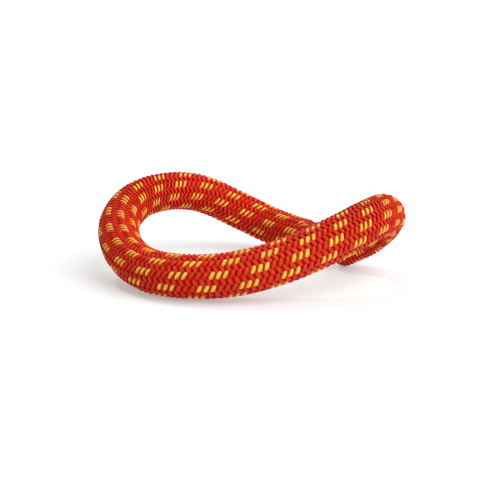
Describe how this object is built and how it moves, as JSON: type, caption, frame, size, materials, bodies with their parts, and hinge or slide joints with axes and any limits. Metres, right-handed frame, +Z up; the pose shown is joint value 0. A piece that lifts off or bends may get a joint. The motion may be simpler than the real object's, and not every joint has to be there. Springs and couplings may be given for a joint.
{
  "type": "dynamic climbing rope",
  "caption": "Short sample of thick dynamic climbing rope: braided red sheath with yellow flecks over a bundle of white core cords, ends fused, laid in one open twisted loop.",
  "frame": {"origin": "on the surface the rope lies on, under the middle of the lay's bounding box", "axes": "+Z up; +X to the right along the long side of the lay; the low front run of the loop is towards -Y"},
  "size_m": [0.0772, 0.0667, 0.0229],
  "materials": {
    "sheath": "braided nylon, red with yellow flecks, soft satin sheen",
    "core": "twisted undyed nylon",
    "tape": "thin plain film",
    "tracer": "twisted dyed nylon",
    "fused_end": "melted nylon, slightly glossy, uneven"
  },
  "bodies": {
    "root": {"sheath": "sheath", "core_strand_01": "core", "core_strand_02": "core", "core_strand_03": "core", "core_strand_04": "core", "core_strand_05": "core", "core_strand_06": "core", "core_strand_07": "core", "core_strand_08": "core", "core_strand_09": "core", "core_strand_10": "core", "core_strand_11": "core", "core_strand_12": "core", "core_strand_13": "core", "core_strand_14": "core", "core_strand_15": "core", "core_strand_16": "core", "marker_tape": "tape", "tracer_yarn": "tracer", "sealed_end_a": "fused_end", "sealed_end_b": "fused_end"}
  },
  "joints": []
}
